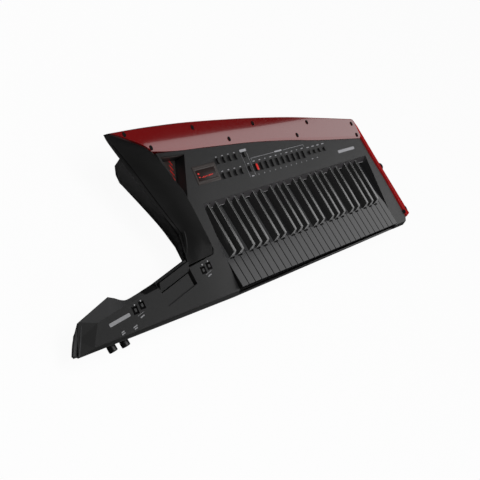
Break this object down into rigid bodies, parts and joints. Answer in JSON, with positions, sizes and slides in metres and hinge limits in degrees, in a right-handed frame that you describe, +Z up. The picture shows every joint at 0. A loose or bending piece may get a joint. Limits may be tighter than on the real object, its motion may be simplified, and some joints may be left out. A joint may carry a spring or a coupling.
{
  "type": "keytar",
  "caption": "Shoulder-worn keyboard with a swept neck, coloured edge blade, control panel, sprung keys, buttons, modulation bar and front knobs.",
  "frame": {"origin": "on the surface that the instrument lies on, under the centre of its bounding box", "axes": "+X along the keys from the neck to the right cheek, +Y from the player to the back edge, +Z up out of the keys"},
  "size_m": [1.252, 0.291, 0.0942],
  "materials": {
    "case_black": "fine matte texture",
    "wing_black": "satin",
    "blade_red": "high gloss",
    "key_natural": "gloss",
    "key_sharp": "matte",
    "frame_steel": "folded sheet",
    "board_green": "solder mask",
    "button_rubber": "satin rubber",
    "knob_black": "satin"
  },
  "bodies": {
    "body": {"bottom_case": "case_black", "top_case": "case_black", "edge_blade": "blade_red", "wing_cover": "wing_black", "key_bed": "frame_steel", "main_board": "board_green"},
    "key_c1": {"key_c1": "key_natural"},
    "key_d1": {"key_d1": "key_natural"},
    "key_e1": {"key_e1": "key_natural"},
    "key_f1": {"key_f1": "key_natural"},
    "key_g1": {"key_g1": "key_natural"},
    "key_a1": {"key_a1": "key_natural"},
    "key_b1": {"key_b1": "key_natural"},
    "key_c_sharp1": {"key_c_sharp1": "key_sharp"},
    "key_d_sharp1": {"key_d_sharp1": "key_sharp"},
    "key_f_sharp1": {"key_f_sharp1": "key_sharp"},
    "key_g_sharp1": {"key_g_sharp1": "key_sharp"},
    "key_a_sharp1": {"key_a_sharp1": "key_sharp"},
    "key_c2": {"key_c2": "key_natural"},
    "key_d2": {"key_d2": "key_natural"},
    "key_e2": {"key_e2": "key_natural"},
    "key_f2": {"key_f2": "key_natural"},
    "key_g2": {"key_g2": "key_natural"},
    "key_a2": {"key_a2": "key_natural"},
    "key_b2": {"key_b2": "key_natural"},
    "key_c_sharp2": {"key_c_sharp2": "key_sharp"},
    "key_d_sharp2": {"key_d_sharp2": "key_sharp"},
    "key_f_sharp2": {"key_f_sharp2": "key_sharp"},
    "key_g_sharp2": {"key_g_sharp2": "key_sharp"},
    "key_a_sharp2": {"key_a_sharp2": "key_sharp"},
    "key_c3": {"key_c3": "key_natural"},
    "key_d3": {"key_d3": "key_natural"},
    "key_e3": {"key_e3": "key_natural"},
    "key_f3": {"key_f3": "key_natural"},
    "key_g3": {"key_g3": "key_natural"},
    "key_a3": {"key_a3": "key_natural"},
    "key_b3": {"key_b3": "key_natural"},
    "key_c_sharp3": {"key_c_sharp3": "key_sharp"},
    "key_d_sharp3": {"key_d_sharp3": "key_sharp"},
    "key_f_sharp3": {"key_f_sharp3": "key_sharp"},
    "key_g_sharp3": {"key_g_sharp3": "key_sharp"},
    "key_a_sharp3": {"key_a_sharp3": "key_sharp"},
    "key_c4": {"key_c4": "key_natural"},
    "key_d4": {"key_d4": "key_natural"},
    "key_e4": {"key_e4": "key_natural"},
    "key_f4": {"key_f4": "key_natural"},
    "key_g4": {"key_g4": "key_natural"},
    "key_a4": {"key_a4": "key_natural"},
    "key_b4": {"key_b4": "key_natural"},
    "key_c_sharp4": {"key_c_sharp4": "key_sharp"},
    "key_d_sharp4": {"key_d_sharp4": "key_sharp"},
    "key_f_sharp4": {"key_f_sharp4": "key_sharp"},
    "key_g_sharp4": {"key_g_sharp4": "key_sharp"},
    "key_a_sharp4": {"key_a_sharp4": "key_sharp"},
    "key_c5": {"key_c5": "key_natural"},
    "panel_buttons": {"panel_buttons": "button_rubber"},
    "neck_buttons": {"neck_buttons": "button_rubber"},
    "modulation_bar": {"modulation_bar": "case_black"},
    "control_knob_1": {"control_knob_1": "knob_black"},
    "control_knob_2": {"control_knob_2": "knob_black"}
  },
  "joints": [
    {"name": "key_c1_hinge", "type": "hinge", "parent": "body", "child": "key_c1", "pos_m": [-0.14725, 0.029, 0.046], "axis": [1, 0, 0], "range_deg": [0, 3.5], "stiffness_Nm_per_rad": 0.3, "springref_deg": -14.32},
    {"name": "key_d1_hinge", "type": "hinge", "parent": "body", "child": "key_d1", "pos_m": [-0.12375, 0.029, 0.046], "axis": [1, 0, 0], "range_deg": [0, 3.5], "stiffness_Nm_per_rad": 0.3, "springref_deg": -14.32},
    {"name": "key_e1_hinge", "type": "hinge", "parent": "body", "child": "key_e1", "pos_m": [-0.10025, 0.029, 0.046], "axis": [1, 0, 0], "range_deg": [0, 3.5], "stiffness_Nm_per_rad": 0.3, "springref_deg": -14.32},
    {"name": "key_f1_hinge", "type": "hinge", "parent": "body", "child": "key_f1", "pos_m": [-0.07675, 0.029, 0.046], "axis": [1, 0, 0], "range_deg": [0, 3.5], "stiffness_Nm_per_rad": 0.3, "springref_deg": -14.32},
    {"name": "key_g1_hinge", "type": "hinge", "parent": "body", "child": "key_g1", "pos_m": [-0.05325, 0.029, 0.046], "axis": [1, 0, 0], "range_deg": [0, 3.5], "stiffness_Nm_per_rad": 0.3, "springref_deg": -14.32},
    {"name": "key_a1_hinge", "type": "hinge", "parent": "body", "child": "key_a1", "pos_m": [-0.02975, 0.029, 0.046], "axis": [1, 0, 0], "range_deg": [0, 3.5], "stiffness_Nm_per_rad": 0.3, "springref_deg": -14.32},
    {"name": "key_b1_hinge", "type": "hinge", "parent": "body", "child": "key_b1", "pos_m": [-0.00625, 0.029, 0.046], "axis": [1, 0, 0], "range_deg": [0, 3.5], "stiffness_Nm_per_rad": 0.3, "springref_deg": -14.32},
    {"name": "key_c_sharp1_hinge", "type": "hinge", "parent": "body", "child": "key_c_sharp1", "pos_m": [-0.13778, 0.029, 0.046], "axis": [1, 0, 0], "range_deg": [0, 3.5], "stiffness_Nm_per_rad": 0.3, "springref_deg": -14.32},
    {"name": "key_d_sharp1_hinge", "type": "hinge", "parent": "body", "child": "key_d_sharp1", "pos_m": [-0.10965, 0.029, 0.046], "axis": [1, 0, 0], "range_deg": [0, 3.5], "stiffness_Nm_per_rad": 0.3, "springref_deg": -14.32},
    {"name": "key_f_sharp1_hinge", "type": "hinge", "parent": "body", "child": "key_f_sharp1", "pos_m": [-0.06836, 0.029, 0.046], "axis": [1, 0, 0], "range_deg": [0, 3.5], "stiffness_Nm_per_rad": 0.3, "springref_deg": -14.32},
    {"name": "key_g_sharp1_hinge", "type": "hinge", "parent": "body", "child": "key_g_sharp1", "pos_m": [-0.04155, 0.029, 0.046], "axis": [1, 0, 0], "range_deg": [0, 3.5], "stiffness_Nm_per_rad": 0.3, "springref_deg": -14.32},
    {"name": "key_a_sharp1_hinge", "type": "hinge", "parent": "body", "child": "key_a_sharp1", "pos_m": [-0.01457, 0.029, 0.046], "axis": [1, 0, 0], "range_deg": [0, 3.5], "stiffness_Nm_per_rad": 0.3, "springref_deg": -14.32},
    {"name": "key_c2_hinge", "type": "hinge", "parent": "body", "child": "key_c2", "pos_m": [0.01725, 0.029, 0.046], "axis": [1, 0, 0], "range_deg": [0, 3.5], "stiffness_Nm_per_rad": 0.3, "springref_deg": -14.32},
    {"name": "key_d2_hinge", "type": "hinge", "parent": "body", "child": "key_d2", "pos_m": [0.04075, 0.029, 0.046], "axis": [1, 0, 0], "range_deg": [0, 3.5], "stiffness_Nm_per_rad": 0.3, "springref_deg": -14.32},
    {"name": "key_e2_hinge", "type": "hinge", "parent": "body", "child": "key_e2", "pos_m": [0.06425, 0.029, 0.046], "axis": [1, 0, 0], "range_deg": [0, 3.5], "stiffness_Nm_per_rad": 0.3, "springref_deg": -14.32},
    {"name": "key_f2_hinge", "type": "hinge", "parent": "body", "child": "key_f2", "pos_m": [0.08775, 0.029, 0.046], "axis": [1, 0, 0], "range_deg": [0, 3.5], "stiffness_Nm_per_rad": 0.3, "springref_deg": -14.32},
    {"name": "key_g2_hinge", "type": "hinge", "parent": "body", "child": "key_g2", "pos_m": [0.11125, 0.029, 0.046], "axis": [1, 0, 0], "range_deg": [0, 3.5], "stiffness_Nm_per_rad": 0.3, "springref_deg": -14.32},
    {"name": "key_a2_hinge", "type": "hinge", "parent": "body", "child": "key_a2", "pos_m": [0.13475, 0.029, 0.046], "axis": [1, 0, 0], "range_deg": [0, 3.5], "stiffness_Nm_per_rad": 0.3, "springref_deg": -14.32},
    {"name": "key_b2_hinge", "type": "hinge", "parent": "body", "child": "key_b2", "pos_m": [0.15825, 0.029, 0.046], "axis": [1, 0, 0], "range_deg": [0, 3.5], "stiffness_Nm_per_rad": 0.3, "springref_deg": -14.32},
    {"name": "key_c_sharp2_hinge", "type": "hinge", "parent": "body", "child": "key_c_sharp2", "pos_m": [0.02672, 0.029, 0.046], "axis": [1, 0, 0], "range_deg": [0, 3.5], "stiffness_Nm_per_rad": 0.3, "springref_deg": -14.32},
    {"name": "key_d_sharp2_hinge", "type": "hinge", "parent": "body", "child": "key_d_sharp2", "pos_m": [0.05485, 0.029, 0.046], "axis": [1, 0, 0], "range_deg": [0, 3.5], "stiffness_Nm_per_rad": 0.3, "springref_deg": -14.32},
    {"name": "key_f_sharp2_hinge", "type": "hinge", "parent": "body", "child": "key_f_sharp2", "pos_m": [0.09614, 0.029, 0.046], "axis": [1, 0, 0], "range_deg": [0, 3.5], "stiffness_Nm_per_rad": 0.3, "springref_deg": -14.32},
    {"name": "key_g_sharp2_hinge", "type": "hinge", "parent": "body", "child": "key_g_sharp2", "pos_m": [0.12295, 0.029, 0.046], "axis": [1, 0, 0], "range_deg": [0, 3.5], "stiffness_Nm_per_rad": 0.3, "springref_deg": -14.32},
    {"name": "key_a_sharp2_hinge", "type": "hinge", "parent": "body", "child": "key_a_sharp2", "pos_m": [0.14993, 0.029, 0.046], "axis": [1, 0, 0], "range_deg": [0, 3.5], "stiffness_Nm_per_rad": 0.3, "springref_deg": -14.32},
    {"name": "key_c3_hinge", "type": "hinge", "parent": "body", "child": "key_c3", "pos_m": [0.18175, 0.029, 0.046], "axis": [1, 0, 0], "range_deg": [0, 3.5], "stiffness_Nm_per_rad": 0.3, "springref_deg": -14.32},
    {"name": "key_d3_hinge", "type": "hinge", "parent": "body", "child": "key_d3", "pos_m": [0.20525, 0.029, 0.046], "axis": [1, 0, 0], "range_deg": [0, 3.5], "stiffness_Nm_per_rad": 0.3, "springref_deg": -14.32},
    {"name": "key_e3_hinge", "type": "hinge", "parent": "body", "child": "key_e3", "pos_m": [0.22875, 0.029, 0.046], "axis": [1, 0, 0], "range_deg": [0, 3.5], "stiffness_Nm_per_rad": 0.3, "springref_deg": -14.32},
    {"name": "key_f3_hinge", "type": "hinge", "parent": "body", "child": "key_f3", "pos_m": [0.25225, 0.029, 0.046], "axis": [1, 0, 0], "range_deg": [0, 3.5], "stiffness_Nm_per_rad": 0.3, "springref_deg": -14.32},
    {"name": "key_g3_hinge", "type": "hinge", "parent": "body", "child": "key_g3", "pos_m": [0.27575, 0.029, 0.046], "axis": [1, 0, 0], "range_deg": [0, 3.5], "stiffness_Nm_per_rad": 0.3, "springref_deg": -14.32},
    {"name": "key_a3_hinge", "type": "hinge", "parent": "body", "child": "key_a3", "pos_m": [0.29925, 0.029, 0.046], "axis": [1, 0, 0], "range_deg": [0, 3.5], "stiffness_Nm_per_rad": 0.3, "springref_deg": -14.32},
    {"name": "key_b3_hinge", "type": "hinge", "parent": "body", "child": "key_b3", "pos_m": [0.32275, 0.029, 0.046], "axis": [1, 0, 0], "range_deg": [0, 3.5], "stiffness_Nm_per_rad": 0.3, "springref_deg": -14.32},
    {"name": "key_c_sharp3_hinge", "type": "hinge", "parent": "body", "child": "key_c_sharp3", "pos_m": [0.19122, 0.029, 0.046], "axis": [1, 0, 0], "range_deg": [0, 3.5], "stiffness_Nm_per_rad": 0.3, "springref_deg": -14.32},
    {"name": "key_d_sharp3_hinge", "type": "hinge", "parent": "body", "child": "key_d_sharp3", "pos_m": [0.21935, 0.029, 0.046], "axis": [1, 0, 0], "range_deg": [0, 3.5], "stiffness_Nm_per_rad": 0.3, "springref_deg": -14.32},
    {"name": "key_f_sharp3_hinge", "type": "hinge", "parent": "body", "child": "key_f_sharp3", "pos_m": [0.26064, 0.029, 0.046], "axis": [1, 0, 0], "range_deg": [0, 3.5], "stiffness_Nm_per_rad": 0.3, "springref_deg": -14.32},
    {"name": "key_g_sharp3_hinge", "type": "hinge", "parent": "body", "child": "key_g_sharp3", "pos_m": [0.28745, 0.029, 0.046], "axis": [1, 0, 0], "range_deg": [0, 3.5], "stiffness_Nm_per_rad": 0.3, "springref_deg": -14.32},
    {"name": "key_a_sharp3_hinge", "type": "hinge", "parent": "body", "child": "key_a_sharp3", "pos_m": [0.31443, 0.029, 0.046], "axis": [1, 0, 0], "range_deg": [0, 3.5], "stiffness_Nm_per_rad": 0.3, "springref_deg": -14.32},
    {"name": "key_c4_hinge", "type": "hinge", "parent": "body", "child": "key_c4", "pos_m": [0.34625, 0.029, 0.046], "axis": [1, 0, 0], "range_deg": [0, 3.5], "stiffness_Nm_per_rad": 0.3, "springref_deg": -14.32},
    {"name": "key_d4_hinge", "type": "hinge", "parent": "body", "child": "key_d4", "pos_m": [0.36975, 0.029, 0.046], "axis": [1, 0, 0], "range_deg": [0, 3.5], "stiffness_Nm_per_rad": 0.3, "springref_deg": -14.32},
    {"name": "key_e4_hinge", "type": "hinge", "parent": "body", "child": "key_e4", "pos_m": [0.39325, 0.029, 0.046], "axis": [1, 0, 0], "range_deg": [0, 3.5], "stiffness_Nm_per_rad": 0.3, "springref_deg": -14.32},
    {"name": "key_f4_hinge", "type": "hinge", "parent": "body", "child": "key_f4", "pos_m": [0.41675, 0.029, 0.046], "axis": [1, 0, 0], "range_deg": [0, 3.5], "stiffness_Nm_per_rad": 0.3, "springref_deg": -14.32},
    {"name": "key_g4_hinge", "type": "hinge", "parent": "body", "child": "key_g4", "pos_m": [0.44025, 0.029, 0.046], "axis": [1, 0, 0], "range_deg": [0, 3.5], "stiffness_Nm_per_rad": 0.3, "springref_deg": -14.32},
    {"name": "key_a4_hinge", "type": "hinge", "parent": "body", "child": "key_a4", "pos_m": [0.46375, 0.029, 0.046], "axis": [1, 0, 0], "range_deg": [0, 3.5], "stiffness_Nm_per_rad": 0.3, "springref_deg": -14.32},
    {"name": "key_b4_hinge", "type": "hinge", "parent": "body", "child": "key_b4", "pos_m": [0.48725, 0.029, 0.046], "axis": [1, 0, 0], "range_deg": [0, 3.5], "stiffness_Nm_per_rad": 0.3, "springref_deg": -14.32},
    {"name": "key_c_sharp4_hinge", "type": "hinge", "parent": "body", "child": "key_c_sharp4", "pos_m": [0.35572, 0.029, 0.046], "axis": [1, 0, 0], "range_deg": [0, 3.5], "stiffness_Nm_per_rad": 0.3, "springref_deg": -14.32},
    {"name": "key_d_sharp4_hinge", "type": "hinge", "parent": "body", "child": "key_d_sharp4", "pos_m": [0.38385, 0.029, 0.046], "axis": [1, 0, 0], "range_deg": [0, 3.5], "stiffness_Nm_per_rad": 0.3, "springref_deg": -14.32},
    {"name": "key_f_sharp4_hinge", "type": "hinge", "parent": "body", "child": "key_f_sharp4", "pos_m": [0.42514, 0.029, 0.046], "axis": [1, 0, 0], "range_deg": [0, 3.5], "stiffness_Nm_per_rad": 0.3, "springref_deg": -14.32},
    {"name": "key_g_sharp4_hinge", "type": "hinge", "parent": "body", "child": "key_g_sharp4", "pos_m": [0.45195, 0.029, 0.046], "axis": [1, 0, 0], "range_deg": [0, 3.5], "stiffness_Nm_per_rad": 0.3, "springref_deg": -14.32},
    {"name": "key_a_sharp4_hinge", "type": "hinge", "parent": "body", "child": "key_a_sharp4", "pos_m": [0.47893, 0.029, 0.046], "axis": [1, 0, 0], "range_deg": [0, 3.5], "stiffness_Nm_per_rad": 0.3, "springref_deg": -14.32},
    {"name": "key_c5_hinge", "type": "hinge", "parent": "body", "child": "key_c5", "pos_m": [0.51075, 0.029, 0.046], "axis": [1, 0, 0], "range_deg": [0, 3.5], "stiffness_Nm_per_rad": 0.3, "springref_deg": -14.32},
    {"name": "panel_buttons_press", "type": "slide", "parent": "body", "child": "panel_buttons", "axis": [0, 0.1544, -0.988], "range_m": [0, 0.0006], "stiffness_N_per_m": 1500, "springref_m": -0.001},
    {"name": "neck_buttons_press", "type": "slide", "parent": "body", "child": "neck_buttons", "axis": [0, 0.1544, -0.988], "range_m": [0, 0.0006], "stiffness_N_per_m": 1500, "springref_m": -0.001},
    {"name": "modulation_bar_hinge", "type": "hinge", "parent": "body", "child": "modulation_bar", "pos_m": [-0.3339, -0.07772, 0.05377], "axis": [0.9882, 0.1512, 0.0236], "range_deg": [0, 10], "stiffness_Nm_per_rad": 0.5, "springref_deg": -11.46},
    {"name": "control_knob_1_turn", "type": "hinge", "parent": "body", "child": "control_knob_1", "pos_m": [-0.52419, -0.136, 0.022], "axis": [0, -1, 0], "range_deg": [-150, 150]},
    {"name": "control_knob_2_turn", "type": "hinge", "parent": "body", "child": "control_knob_2", "pos_m": [-0.48919, -0.136, 0.022], "axis": [0, -1, 0], "range_deg": [-150, 150]}
  ]
}
